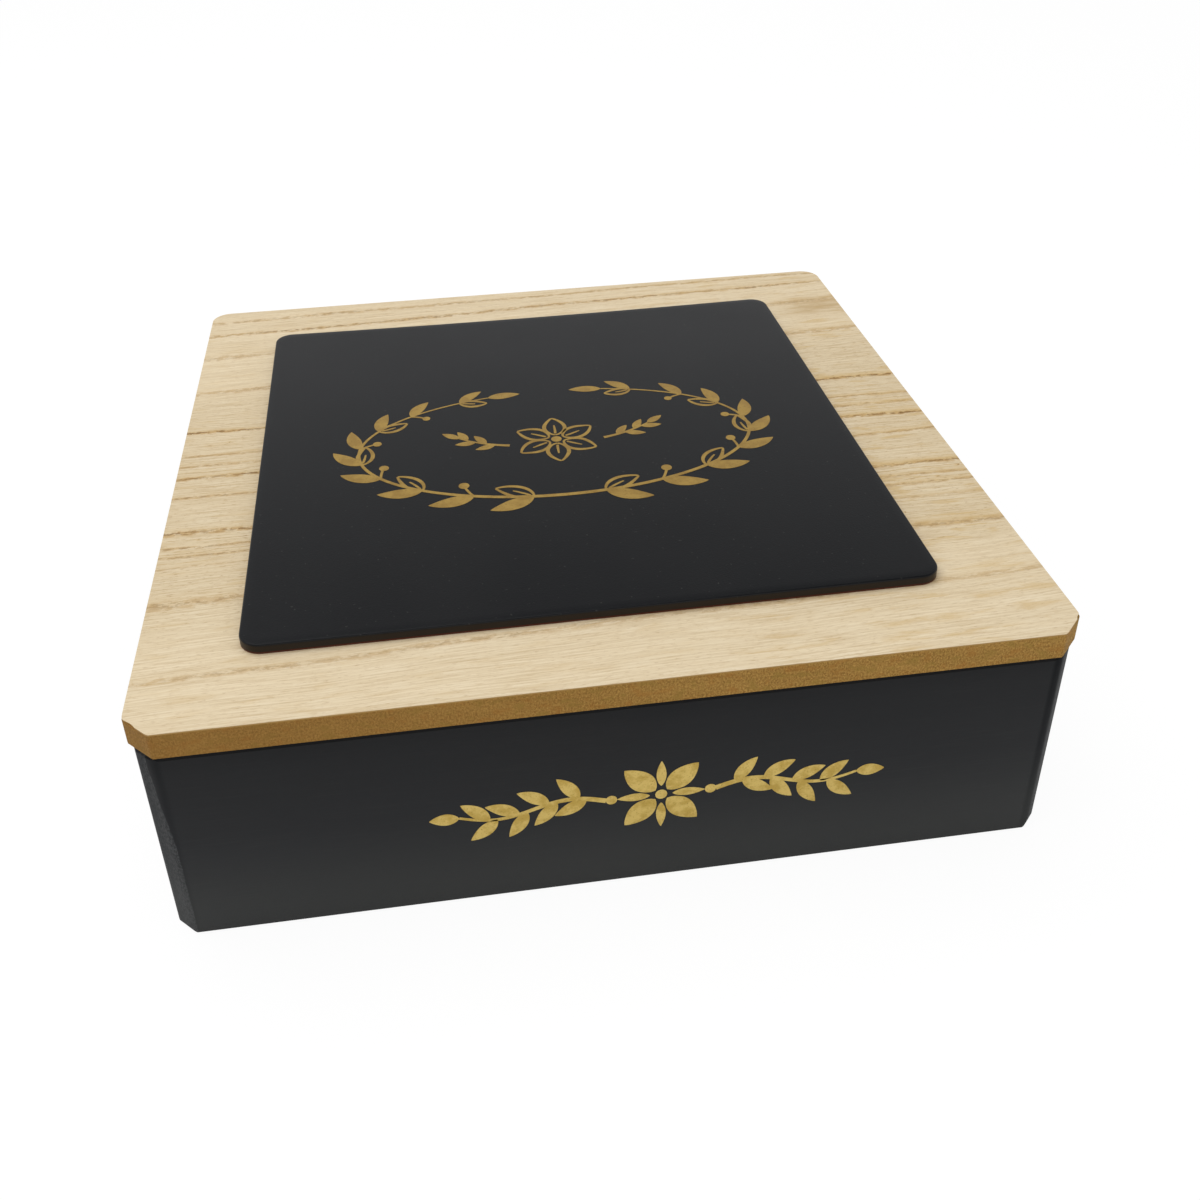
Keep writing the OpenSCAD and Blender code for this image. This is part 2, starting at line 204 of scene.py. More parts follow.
# bright sky, two soft lamps and a white floor
light = {"world": 0.54, "horizon": 1.0, "zenith": 0.1, "fade": (0.36, 0.66),
         "softPower": 9.6, "softSize": 1.3, "softPlace": (-0.35, 0.1, 1.25),
         "frontPower": 2.0, "frontSize": 0.9, "frontPlace": (0.1, -1.3, 0.55), "target": (0, 0, 0.05)}


def studioSky():
    world = bpy.data.worlds.new("studio")
    bpy.context.scene.world = world
    world.use_nodes = True
    tree = world.node_tree
    tree.nodes.clear()
    rays = addNode(tree, "LightPath")
    straight = rays.outputs["Is Camera Ray"]
    seen = calc(tree, "MAXIMUM", straight, rays.outputs["Is Glossy Ray"])
    seen = calc(tree, "MAXIMUM", seen, rays.outputs["Is Transmission Ray"])
    # the mirrored sky is white at the horizon, as the backdrop is, and darker overhead, as a ceiling is
    direction = addNode(tree, "TexCoord")
    skyAxes = addNode(tree, "SeparateXYZ")
    tree.links.new(direction.outputs["Generated"], skyAxes.inputs[0])
    mirrored = step(tree, skyAxes.outputs[2], *light["fade"], light["horizon"], light["zenith"])
    shown = calc(tree, "MAXIMUM", straight, times(tree, seen, mirrored))
    plain = times(tree, minus(tree, 1.0, seen), light["world"])
    sky = addNode(tree, "Background")
    sky.inputs["Color"].default_value = (1, 1, 1, 1)
    plug(tree, plus(tree, shown, plain), sky.inputs["Strength"])
    out = addNode(tree, "OutputWorld")
    tree.links.new(sky.outputs[0], out.inputs["Surface"])


def areaLamp(name, power, size, where):
    data = bpy.data.lights.new(name, "AREA")
    data.shape = "SQUARE"
    data.size = size
    data.energy = power
    obj = bpy.data.objects.new(name, data)
    obj.location = where
    obj.rotation_euler = (Vector(light["target"]) - Vector(where)).to_track_quat("-Z", "Y").to_euler()
    bpy.context.scene.collection.objects.link(obj)


# the floor lies a hair under the box, so that the two don't share a plane
ground = {"half": 4000.0, "cells": 8, "level": -0.02, "white": 0.9, "specular": 0.1, "roughness": 0.9,
          "glow": 1.03, "glowShare": 0.9}


def whiteFloor():
    # a flat square grid: z is the same everywhere
    cells = ground["cells"]
    line = np.linspace(-ground["half"], ground["half"], cells + 1)
    gridX, gridY = np.meshgrid(line, line)
    points = np.stack([gridX.ravel(), gridY.ravel(), np.full(gridX.size, ground["level"])], 1)
    corner = (np.arange(cells)[:, None] * (cells + 1) + np.arange(cells)[None, :]).ravel()
    faces = np.stack([corner, corner + 1, corner + cells + 2, corner + cells + 1], 1)
    return meshObject("floor", points, faces)


def floorFinish():
    # it glows for the camera, so that it looks as white as the sky and still takes shadows
    mat, tree, shader = newMaterial("floor_white", ground["specular"], ground["roughness"])
    shader.inputs["Base Color"].default_value = (ground["white"],) * 3 + (1,)
    glow = addNode(tree, "Emission")
    glow.inputs["Strength"].default_value = ground["glow"]
    glow.inputs["Color"].default_value = (1, 1, 1, 1)
    rays = addNode(tree, "LightPath")
    seen = calc(tree, "MAXIMUM", rays.outputs["Is Camera Ray"], rays.outputs["Is Transmission Ray"])
    mixer = addNode(tree, "MixShader")
    plug(tree, times(tree, seen, ground["glowShare"]), mixer.inputs[0])
    tree.links.new(shader.outputs[0], mixer.inputs[1])
    tree.links.new(glow.outputs[0], mixer.inputs[2])
    out = [n for n in tree.nodes if n.type == "OUTPUT_MATERIAL"][0]
    tree.links.new(mixer.outputs[0], out.inputs["Surface"])
    return mat


studioSky()
areaLamp("soft_above", light["softPower"], light["softSize"], light["softPlace"])
areaLamp("soft_front", light["frontPower"], light["frontSize"], light["frontPlace"])
floor = whiteFloor()
floor.data.materials.append(floorFinish())
print("light and floor set")


# black paint on the box and its dividers
box = {"side": 119.0, "front": -119.0, "rear": 116.0, "cornerCut": 5.4}
paint = {"colour": (38, 39, 41), "low": (33, 34, 36), "streak": (44, 45, 45), "rubbedAndLit": (89, 90, 91),
         # the colour under the lid is painted shade, the foot colour is painted light from the white floor
         "lidShadow": (14, 15, 17), "foot": (62, 63, 62), "bare": (84, 82, 78),
         "specular": 0.2, "dullSpecular": 0.04, "polish": 0.12, "roughness": (0.56, 0.7), "bump": 0.045,
         # painted lid shade and floor light stop this deep inside the outer faces and lie between these
         # heights
         "skin": (7.0, 5.5), "rimFade": (62.1, 61.0), "wideShade": (25.0, 62.0),
         "narrowShade": (54.0, 62.0), "floorLightHeights": (0.0, 36.0), "arris": (0.2, 1.1),
         # where across the left corner rubbing and painted light start, low down and in the lid's painted
         # shade
         "leftHeights": (28.0, 66.0), "wideRubAndLight": -5.7, "narrowRubAndLight": -1.0}
# |x| - y has this value on the 45 degree corners, and less everywhere else
cutReach = box["side"] - box["front"] - box["cornerCut"]


def outerPaintedLight(tree, base, x, y, z):
    # outside, painted shade under the lid darkens the paint, painted floor light greys it towards the foot
    fromMiddle = calc(tree, "ABSOLUTE", minus(tree, y, (box["front"] + box["rear"]) / 2))
    outward = calc(tree, "MAXIMUM", calc(tree, "ABSOLUTE", x), fromMiddle)
    outside = step(tree, outward, *(box["side"] - depth for depth in paint["skin"]))
    belowRim = times(tree, outside, step(tree, z, *paint["rimFade"]))
    wide = times(tree, belowRim, step(tree, z, *paint["wideShade"], 0.0, 0.55))
    narrow = times(tree, belowRim, step(tree, z, *paint["narrowShade"], 0.0, 0.4))
    floorLight = times(tree, outside, step(tree, z, *paint["floorLightHeights"], 0.74, 0.0))
    base = blend(tree, wide, base, paint["lidShadow"])
    base = blend(tree, narrow, base, paint["lidShadow"])
    return blend(tree, floorLight, base, paint["foot"])


def cornerRubAndLight(tree, reach, across, z, onRight, ragged):
    # the cut corners are partly rubbed and partly painted light: the left one over its whole width low down
    # and narrowly in the lid's painted shade; the right one more and more towards its side, a painted
    # highlight
    wornAndLit = step(tree, shaken(tree, reach, ragged, 1.2), cutReach - 1.8, cutReach - 1.2)
    leftStart = step(tree, z, *paint["leftHeights"], paint["wideRubAndLight"], paint["narrowRubAndLight"])
    leftRubAndLight = step(tree, minus(tree, across, leftStart), 0.0, 0.5)
    leftRubAndLight = times(tree, leftRubAndLight, step(tree, across, -4.0, 5.0, 1.0, 0.6))
    rightRubAndLight = step(tree, across, -4.0, 2.0)
    rubAndLight = plus(tree, times(tree, leftRubAndLight, minus(tree, 1.0, onRight)), times(tree, rightRubAndLight, onRight))
    speck = pattern(tree, (2.2, 2.2, 1.3), 3.0, 0.7, (1, 9, 4))
    wornAndLit = times(tree, wornAndLit, rubAndLight, step(tree, speck, 0.35, 0.65, 0.1, 0.55))
    return calc(tree, "MULTIPLY", wornAndLit, plus(tree, 1.0, times(tree, onRight, 0.6)), clamp=True)


def paintGloss(tree, x, reach, across, onRight):
    # cut corners are duller than the rest, the right one most, but its rubbed, painted-light part is
    # polished
    onCut = step(tree, reach, cutReach - 2.4, cutReach - 0.6)
    dullCorner = times(tree, step(tree, x, -1.0, 1.0, 0.6, 1.0), onCut)
    gloss = step(tree, dullCorner, 0.0, 1.0, paint["specular"], paint["dullSpecular"])
    return plus(tree, gloss, times(tree, onRight, onCut, step(tree, across, -3.6, 0.5), paint["polish"]))


def blackPaint():
    mat, tree, shader = newMaterial("black_box_paint")
    x, y, z = axes(tree)
    broad = pattern(tree, (0.02, 0.02, 0.05), 3.0)
    streak = pattern(tree, (0.07, 0.07, 1.9), 3.0, shift=(3, 1, 0))
    grit = pattern(tree, (2.2, 2.2, 2.2))
    ragged = pattern(tree, (0.5, 0.5, 0.25), 4.0, 0.7, (7, 2, 5))
    base = blend(tree, step(tree, broad, 0.3, 0.7), paint["low"], paint["colour"])
    base = blend(tree, step(tree, streak, 0.5, 0.8, 0.0, 0.35), base, paint["streak"])
    base = outerPaintedLight(tree, base, x, y, z)
    # across a front corner, |x| + y runs from the front face to the side
    aside = calc(tree, "ABSOLUTE", x)
    reach = minus(tree, aside, y)
    across = shaken(tree, plus(tree, aside, y), ragged, 1.6)
    onRight = step(tree, x, -1.0, 1.0)
    # the cut corners get a lighter colour: part real rubbing, part painted light
    base = blend(tree, cornerRubAndLight(tree, reach, across, z, onRight, ragged), base, paint["rubbedAndLit"])
    # the lower outer arris is lighter in a thin broken line
    lower = times(tree, step(tree, z, *paint["arris"], 0.5, 0.0), step(tree, ragged, 0.45, 0.6))
    base = blend(tree, lower, base, paint["bare"])
    plug(tree, base, shader.inputs["Base Color"])
    plug(tree, step(tree, broad, 0.2, 0.8, *paint["roughness"]), shader.inputs["Roughness"])
    plug(tree, paintGloss(tree, x, reach, across, onRight), shader.inputs["Specular IOR Level"])
    height = plus(tree, times(tree, streak, 0.35), times(tree, grit, 0.5))
    bump(tree, shader, height, paint["bump"])
    return mat


dress(blackPaint(), "front_wall", "back_wall", "left_wall", "right_wall", "bottom_panel",
      "row_divider_front", "row_divider_rear", "column_divider_left", "column_divider_right")
print("box painted")


# bare fibreboard of the lid
board = {"light": (200, 158, 84), "mid": (156, 114, 48), "dark": (100, 68, 22), "shade": (128, 88, 34),
         "warm": (158, 106, 42), "green": (146, 116, 50), "leftShade": 0.5, "shadeRun": (-118.0, 60.0),
         "specular": 0.25, "roughness": 0.85, "bump": 0.12, "under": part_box("lid_board")[0][2] / mm}


def bareBoard():
    mat, tree, shader = newMaterial("bare_fibreboard", board["specular"], board["roughness"])
    x, _, z = axes(tree)
    fibre = pattern(tree, (1.9, 1.9, 1.5), 4.0, 0.8)
    fine = pattern(tree, (4.6, 4.6, 3.8), 2.0, 0.6, (5, 0, 2))
    cloud = pattern(tree, (0.06, 0.06, 0.2), shift=(0, 3, 0))
    mottle = pattern(tree, (0.2, 0.2, 0.34), 3.0, 0.6, (2, 6, 1))
    base = blend(tree, step(tree, fibre, 0.32, 0.68), board["dark"], board["light"])
    base = blend(tree, 0.3, base, board["mid"])
    base = blend(tree, step(tree, fine, 0.55, 0.72, 0.0, 0.6), base, board["dark"])
    base = blend(tree, step(tree, cloud, 0.4, 0.7, 0.0, 0.16), base, board["light"])
    # sawn edges are mottled, the smooth underside hardly
    sawn = step(tree, z, board["under"] + 0.05, board["under"] + 0.4, 0.3, 1.0)
    base = blend(tree, times(tree, step(tree, mottle, 0.52, 0.66, 0.0, 0.45), sawn), base, board["warm"])
    base = blend(tree, times(tree, step(tree, mottle, 0.48, 0.36, 0.0, 0.6), sawn), base, board["green"])
    # the edge is duller towards the left end
    base = blend(tree, step(tree, x, *board["shadeRun"], board["leftShade"], 0.0), base, board["shade"])
    plug(tree, base, shader.inputs["Base Color"])
    bump(tree, shader, plus(tree, fibre, times(tree, fine, 0.5)), board["bump"])
    return mat


dress(bareBoard(), "lid_board")
print("lid board dressed")


# veneer sheet on the lid
sheetLow, sheetHigh = (np.array(c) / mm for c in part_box("lid_veneer"))
veneer = {"right": sheetHigh[0], "front": sheetLow[1], "rear": sheetHigh[1], "under": sheetLow[2],
          "top": sheetHigh[2], "cut": 6.8, "soften": 0.5, "nose": 0.62, "noseDraw": 0.3, "rearRadius": 6.5,
          # rows of points: close in front as far as frontTo, then even, then round the rear arcs
          "columns": 61, "frontTo": -112.0, "arcStart": 113.5, "frontRows": 33, "rows": 300, "arcRows": 15,
          # chips broken out of the sheet where the cut corners start: column, depth, y, half length
          "chips": [(0, 0.4, -115.2, 1.5), (-1, -0.5, -113.6, 1.0)], "chipPower": 0.6,
          # growth lines: y at the left edge, y at the right edge, strength, width
          "growth": [(111.5, 118.0, 0.55, 0.9), (99.0, 110.0, 0.75, 1.0), (80.0, 92.0, 0.45, 1.6),
                     (52.0, 65.0, 0.55, 1.5), (25.3, 24.9, 0.95, 0.8), (9.6, 12.0, 0.55, 0.6),
                     (3.1, 6.0, 0.6, 0.7), (-4.3, -1.4, 0.95, 0.8), (-16.0, -13.0, 0.6, 0.7),
                     (-35.4, -32.9, 0.85, 0.9), (-42.3, -40.0, 0.6, 0.6), (-47.0, -44.4, 0.6, 0.6),
                     (-52.6, -51.4, 0.35, 0.5), (-69.7, -65.7, 0.5, 1.4), (-101.3, -91.0, 0.42, 1.0)],
          # beyond the first and the last line the grain has a rise of its own
          "beyond": 140.0, "beyondRise": 2.0, "span": 240.0,
          # slow waves on every line: height, radians to the millimetre, share of the line's own phase
          "waves": [(0.45, 0.043, 1.0), (0.25, 0.11, 2.3)], "phaseStep": 0.37}


def lidHalfWidth(y):
    # half width of the lid at depth y: in front a 45 degree cut, which begins softly as a hyperbola, with
    # a little rounding at the very front, and behind a quarter circle
    v = veneer
    frontDrop = (v["front"] + v["cut"]) - y
    cut = 0.5 * (frontDrop + np.sqrt(frontDrop ** 2 + v["soften"] ** 2))
    nearFront = np.clip(1 - (y - v["front"]) / v["nose"], 0, 1)
    inArc = np.clip(y - (v["rear"] - v["rearRadius"]), 0, v["rearRadius"])
    arc = v["rearRadius"] - np.sqrt(v["rearRadius"] ** 2 - inArc ** 2)
    return v["right"] - cut - v["noseDraw"] * nearFront ** 2 - arc


def growthField(x, y):
    # For each point: how far it is from the nearest growth line, in line widths, that line's strength,
    # and a grain coordinate that follows the lines. A line's y is a straight run from its left to its
    # right value with slow sine waves on it; between two lines the offset is blended linearly.
    v = veneer
    table = np.array(v["growth"][::-1])
    rest = np.concatenate([[-v["beyond"]], (table[:, 0] + table[:, 1]) / 2, [v["beyond"]]])
    strength = np.concatenate([[0.0], table[:, 2], [0.0]])
    width = np.concatenate([[1.0], table[:, 3], [1.0]])
    rise = np.concatenate([[v["beyondRise"]], table[:, 1] - table[:, 0], [v["beyondRise"]]])
    phase = rest * v["phaseStep"]
    wave = sum(height * np.sin(x[..., None] * turn + own * phase) for height, turn, own in v["waves"])
    offset = x[..., None] * (rise / v["span"]) + wave
    upper = np.clip(np.searchsorted(rest, y), 1, len(rest) - 1)
    mixing = ((y - rest[upper - 1]) / (rest[upper] - rest[upper - 1]))[..., None]
    lowOff = np.take_along_axis(offset, (upper - 1)[..., None], -1)
    highOff = np.take_along_axis(offset, upper[..., None], -1)
    grain = y - (lowOff * (1 - mixing) + highOff * mixing)[..., 0]
    gap = grain[..., None] - rest
    nearest = np.abs(gap).argmin(-1)
    distance = np.take_along_axis(gap, nearest[..., None], -1)[..., 0] / width[nearest]
    return grain, distance, strength[nearest]


def gridPlate(name, top, bottom):
    # two grids of points with one outline, joined by a wall round the rim; rows run along y, columns
    # along x
    rows, columns = top.shape[:2]
    count = rows * columns
    index = np.arange(count).reshape(rows, columns)
    a, b = index[:-1, :-1].ravel(), index[:-1, 1:].ravel()
    c, d = index[1:, 1:].ravel(), index[1:, :-1].ravel()
    upperFaces = np.stack([a, b, c, d], 1)
    lowerFaces = np.stack([d, c, b, a], 1) + count
    rim = np.concatenate([index[0, :-1], index[:-1, -1], index[-1, :0:-1], index[:0:-1, 0]])
    following = np.roll(rim, -1)
    wall = np.stack([rim + count, following + count, following, rim], 1)
    points = np.concatenate([top.reshape(-1, 3), bottom.reshape(-1, 3)])
    return meshObject(name, points, np.concatenate([upperFaces, lowerFaces, wall]))


def veneerSheet():
    # each row runs from side to side of the lid at its own y
    v = veneer
    arcTurn = np.linspace(0, np.pi / 2, v["arcRows"])
    y = np.concatenate([np.linspace(v["front"], v["frontTo"], v["frontRows"])[:-1],
                        np.linspace(v["frontTo"], v["arcStart"], v["rows"])[:-1],
                        v["arcStart"] + v["rearRadius"] * np.sin(arcTurn)])
    gridX = np.linspace(-1, 1, v["columns"])[None, :] * lidHalfWidth(y)[:, None]
    for column, depth, where, half in v["chips"]:
        gridX[:, column] += depth * np.clip(1 - np.abs(y - where) / half, 0, 1) ** v["chipPower"]
    gridY = np.repeat(y[:, None], v["columns"], 1)
    top = np.stack([gridX, gridY, np.full_like(gridX, v["top"])], -1)
    bottom = top.copy()
    bottom[..., 2] = v["under"]
    obj = gridPlate("veneer_sheet", top, bottom)
    grain, distance, strength = growthField(gridX, gridY)
    for label, values in (("grainLine", grain), ("growthDistance", distance), ("growthStrength", strength)):
        layer = obj.data.attributes.new(label, "FLOAT", "POINT")
        both = np.concatenate([values.ravel(), values.ravel()]).astype(np.float32)
        layer.data.foreach_set("value", both)
    return obj


tone = {"band": (221, 202, 168), "clear": (228, 210, 177), "fibre": (188, 160, 116),
        "pale": (238, 225, 198), "tail": (208, 178, 124), "growth": (188, 152, 96), "dash": (128, 94, 44),
        "pore": (168, 134, 86), "middle": (202, 182, 146), "rim": (168, 130, 70), "stain": (186, 156, 108),
        "specular": 0.3, "roughness": 0.62, "bump": 0.035}
# noise that runs with the grain: stretch along x and across the grain, place, detail and roughness, and
# for the wisps a distortion
grainNoise = {"bands": (0.008, 0.16, 0.0, 3.0, 0.6), "threads": (0.06, 1.9, 4.0, 3.0, 0.55),
              "ticks": (0.3, 2.6, 15.0, 3.0, 0.6), "patches": (0.03, 0.06, 7.0, 2.0, 0.5),
              "wisps": (0.06, 0.32, 17.0, 4.0, 0.6, 0.3), "pores": (0.38, 2.4, 9.0, 3.0, 0.6),
              "dashes": (0.42, 0.9, 2.0, 3.0, 0.65), "clusters": (0.2, 0.5, 21.0, 4.0, 0.7),
              "lengthwise": (0.03, 0.4, 6.0, 2.0, 0.5), "wobble": (0.34, 0.4, 12.0, 4.0, 0.7)}


def attribute(tree, label):
    node = addNode(tree, "Attribute", attribute_type="GEOMETRY", attribute_name=label)
    return node.outputs["Fac"]


def alongGrain(tree, x, grainLine, alongScale, acrossScale, shift, *settings):
    # noise over x and the grain line, so that the pattern follows the growth lines
    node = addNode(tree, "CombineXYZ")
    plug(tree, times(tree, x, alongScale), node.inputs[0])
    plug(tree, times(tree, grainLine, acrossScale), node.inputs[1])
    plug(tree, shift, node.inputs[2])
    return noise(tree, node.outputs[0], *settings)


def veneerGround(tree, x, grainLine, grain, coarse, flamed):
    # pale bands with darker and paler threads, short ticks, and flames towards the right side
    base = blend(tree, step(tree, grain["bands"], 0.3, 0.7), tone["band"], tone["clear"])
    fibre = times(tree, step(tree, grain["threads"], 0.47, 0.68),
                  step(tree, grain["patches"], 0.3, 0.7, 0.4, 0.85), coarse)
    base = blend(tree, fibre, base, tone["fibre"])
    paler = times(tree, step(tree, grain["threads"], 0.5, 0.33, 0.0, 0.7), coarse)
    base = blend(tree, paler, base, tone["pale"])
    ticks = times(tree, step(tree, grain["ticks"], 0.55, 0.66, 0.0, 0.6), coarse)
    base = blend(tree, ticks, base, tone["fibre"])
    flames = times(tree, step(tree, grain["wisps"], 0.52, 0.68), flamed)
    base = blend(tree, flames, base, tone["tail"])
    # stained at the right rear corner
    stain = times(tree, step(tree, x, 92.0, 108.0),
                  times(tree, step(tree, grainLine, 68.0, 78.0), step(tree, grainLine, 91.0, 86.0)),
                  step(tree, grain["wisps"], 0.3, 0.6, 0.2, 0.7))
    return blend(tree, stain, base, tone["stain"])


def growthMarks(tree, base, grain, flamed):
    # a growth line is dark in the middle, fading quickly in front and slowly behind
    strength = attribute(tree, "growthStrength")
    distance = shaken(tree, attribute(tree, "growthDistance"), grain["wobble"], 3.0)
    offLine = calc(tree, "ABSOLUTE", distance)
    nearLine = step(tree, offLine, 0.3, 1.0, 1.0, 0.0)
    wideLine = step(tree, offLine, 0.6, 1.8, 1.0, 0.0)
    wideLine = times(tree, wideLine, step(tree, grain["clusters"], 0.44, 0.53))
    tail = times(tree, step(tree, distance, 0.0, 5.0, 1.0, 0.0), step(tree, distance, -0.6, 0.0))
    broken = step(tree, grain["dashes"], 0.43, 0.54)
    fading = step(tree, grain["lengthwise"], 0.35, 0.6, 0.35, 1.0)
    dashes = times(tree, nearLine, calc(tree, "POWER", strength, 1.4), fading, broken)
    base = blend(tree, times(tree, tail, strength, flamed), base, tone["tail"])
    base = blend(tree, times(tree, wideLine, strength, 0.85), base, tone["growth"])
    return blend(tree, dashes, base, tone["dash"]), dashes


def veneerFinish():
    mat, tree, shader = newMaterial("pale_open_pored_veneer", tone["specular"], tone["roughness"])
    x, _, z = axes(tree)
    grainLine = attribute(tree, "grainLine")
    grain = {name: alongGrain(tree, x, grainLine, *values) for name, values in grainNoise.items()}
    # the ground is duller and rougher in the middle of the sheet, where the growth lines lie close
    # together, and more flamed towards the right side
    middle = times(tree, step(tree, grainLine, -88.0, -66.0), step(tree, grainLine, 66.0, 40.0))
    coarse = step(tree, middle, 0.0, 1.0, 0.56, 1.0)
    flamed = times(tree, step(tree, x, -20.0, 100.0, 0.4, 0.95), coarse)
    base = veneerGround(tree, x, grainLine, grain, coarse, flamed)
    base = blend(tree, times(tree, middle, 0.34), base, tone["middle"])
    base, dashes = growthMarks(tree, base, grain, flamed)
    pores = times(tree, step(tree, grain["pores"], 0.58, 0.7, 0.0, 0.7), coarse)
    base = blend(tree, pores, base, tone["pore"])
    # the sheet's own cut edge is as brown as the board under it
    rim = step(tree, z, veneer["top"] - 0.16, veneer["top"] - 0.05, 1.0, 0.0)
    base = blend(tree, rim, base, tone["rim"])
    plug(tree, base, shader.inputs["Base Color"])
    height = minus(tree, times(tree, grain["threads"], 0.3), plus(tree, dashes, pores))
    bump(tree, shader, height, tone["bump"])
    return mat


veneerObject = veneerSheet()
veneerObject.data.materials.append(veneerFinish())
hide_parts("lid_veneer")
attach(veneerObject, "lid")
print("veneer laid")


# black plaque on the lid
plaqueLow, plaqueHigh = (np.array(c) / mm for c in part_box("lid_plaque"))
plaque = {"halfWidth": (plaqueHigh[0] - plaqueLow[0]) / 2, "centre": (plaqueLow[:2] + plaqueHigh[:2]) / 2,
          "radius": 6.0, "leastRadius": 0.6, "under": plaqueLow[2], "top": plaqueHigh[2] - 0.06,
          "arris": 0.5, "arrisPoints": 7, "footArris": 0.15, "underRings": (60.0, 8.0),
          "topRings": (3.0, 12.0, 40.0, 75.0), "rearHollow": 1.6, "hollowPower": 8,
          "sidePoints": 24, "cornerPoints": 10, "smoothAngle": 35,
          "dark": (5, 7, 12), "light": (9, 11, 15), "dust": (120, 118, 112), "rim": (34, 27, 22),
          "foot": (84, 38, 24), "specular": 0.205, "roughness": (0.385, 0.415), "bump": 0.03}


def roundedSquare(halfWidth, radius, sidePoints, cornerPoints):
    # once round a square with round corners, starting at the rear end of the right side: each corner is a
    # quarter circle about its own centre, then a straight run to the next one
    turns = np.linspace(0, np.pi / 2, cornerPoints)
    starts = np.arange(4) * np.pi / 2
    centres = (halfWidth - radius) * np.array([[1, 1], [-1, 1], [-1, -1], [1, -1]])
    angle = starts[:, None] + turns[None, :]
    arcs = centres[:, None, :] + radius * np.stack([np.cos(angle), np.sin(angle)], -1)
    runs = np.linspace(arcs[:, -1], np.roll(arcs[:, 0], -1, 0), sidePoints, axis=1)[:, 1:-1]
    return np.concatenate([arcs, runs], 1).reshape(-1, 2)


def plaqueBoard():
    # profile from the middle of the underside, round the rim and back to the middle of the top: the rim is
    # straight and ends in a quarter-round arris
    p = plaque
    turn = np.linspace(0, np.pi / 2, p["arrisPoints"])
    under = [*p["underRings"], p["footArris"]]
    inset = np.concatenate([under, [0.0], p["arris"] * (1 - np.cos(turn)), p["topRings"]])
    height = np.concatenate([[p["under"]] * len(under), [p["under"] + p["footArris"]],
                             p["top"] - p["arris"] * (1 - np.sin(turn)), [p["top"]] * len(p["topRings"])])
    rings = np.stack([roundedSquare(p["halfWidth"] - d, max(p["radius"] - d, p["leastRadius"]),
                                    p["sidePoints"], p["cornerPoints"]) for d in inset])
    # the rear side is a little hollow, most in the middle
    rearward = np.clip(rings[..., 1] / p["halfWidth"], 0, 1) ** p["hollowPower"]
    rings[..., 1] -= p["rearHollow"] * (rearward * (1 - (rings[..., 0] / p["halfWidth"]) ** 2))
    points = np.concatenate([rings + p["centre"],
                             np.repeat(height[:, None, None], rings.shape[1], 1)], -1)
    rows, columns = points.shape[:2]
    index = np.arange(rows * columns).reshape(rows, columns)
    right = np.roll(index, -1, 1)
    sides = np.stack([index[:-1], right[:-1], right[1:], index[1:]], -1).reshape(-1, 4)
    faces = sides.tolist() + [index[0, ::-1].tolist(), index[-1].tolist()]
    return meshObject("plaque_board", points.reshape(-1, 3), faces, p["smoothAngle"])


def plaqueFinish():
    mat, tree, shader = newMaterial("matt_black_plaque_paint", plaque["specular"])
    z = axes(tree)[2]
    cloud = pattern(tree, (0.03, 0.03, 0.03), 3.0)
    grain = pattern(tree, (2.5, 2.5, 2.5))
    dust = pattern(tree, (1.1, 1.1, 1.1), 1.0, 0.3, (3, 8, 1))
    base = blend(tree, step(tree, cloud, 0.3, 0.7), plaque["dark"], plaque["light"])
    base = blend(tree, step(tree, dust, 0.76, 0.79, 0.0, 0.12), base, plaque["dust"])
    # the rim is painted thinly over brown board, and most at its foot
    rim = step(tree, z, plaque["top"] - 0.9, plaque["top"] - 0.2, 1.0, 0.0)
    base = blend(tree, rim, base, plaque["rim"])
    foot = step(tree, z, plaque["under"] + 0.25, plaque["under"] + 0.8, 1.0, 0.0)
    base = blend(tree, foot, base, plaque["foot"])
    plug(tree, base, shader.inputs["Base Color"])
    plug(tree, step(tree, cloud, 0.3, 0.7, *plaque["roughness"]), shader.inputs["Roughness"])
    bump(tree, shader, grain, plaque["bump"])
    return mat


plaqueObject = plaqueBoard()
plaqueObject.data.materials.append(plaqueFinish())
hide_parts("lid_plaque")
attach(plaqueObject, "lid")
print("plaque fixed")


# gold prints
class Print:
    # a flat print is a row of strokes; each one is a band of changing width along a centre line
    def __init__(self, thickness=0.05, sunk=0.02, layers=7, layerStep=0.003):
        self.thickness = thickness
        self.sunk = sunk
        self.layers = layers
        self.layerStep = layerStep
        self.points = []
        self.faces = []
        self.count = 0
        self.layer = 0

    def stroke(self, line, width):
        # four points at each station of the line: left and right by half the width, low and high
        line = np.asarray(line, float)
        side = sideways(line) * (np.asarray(width)[:, None] / 2)
        left, right = line + side, line - side
        low = np.full((len(line), 1), -self.sunk)
        # neighbouring strokes differ a little in height, so that no two lie in one plane
        self.layer = (self.layer + 1) % self.layers
        high = np.full((len(line), 1), self.thickness - self.layerStep * self.layer)
        ring = np.stack([np.hstack([left, low]), np.hstack([right, low]),
                         np.hstack([right, high]), np.hstack([left, high])], 1)
        index = self.count + np.arange(len(line) * 4).reshape(-1, 4)
        turned = np.roll(index, -1, 1)
        sides = np.stack([index[:-1], turned[:-1], turned[1:], index[1:]], -1).reshape(-1, 4)
        self.faces += sides[:, ::-1].tolist()
        self.faces += [index[0].tolist(), index[-1, ::-1].tolist()]
        self.points.append(ring.reshape(-1, 3))
        self.count += ring.shape[0] * 4

    def arrays(self):
        return np.concatenate(self.points), self.faces


def sideways(line):
    # unit vectors to the left of a line, one for each of its points
    along = np.gradient(line, axis=0)
    along /= np.linalg.norm(along, axis=1, keepdims=True)
    return np.stack([-along[:, 1], along[:, 0]], 1)


def headingOf(run):
    # direction of a vector in degrees, anticlockwise from the x axis
    return math.degrees(math.atan2(run[1], run[0]))


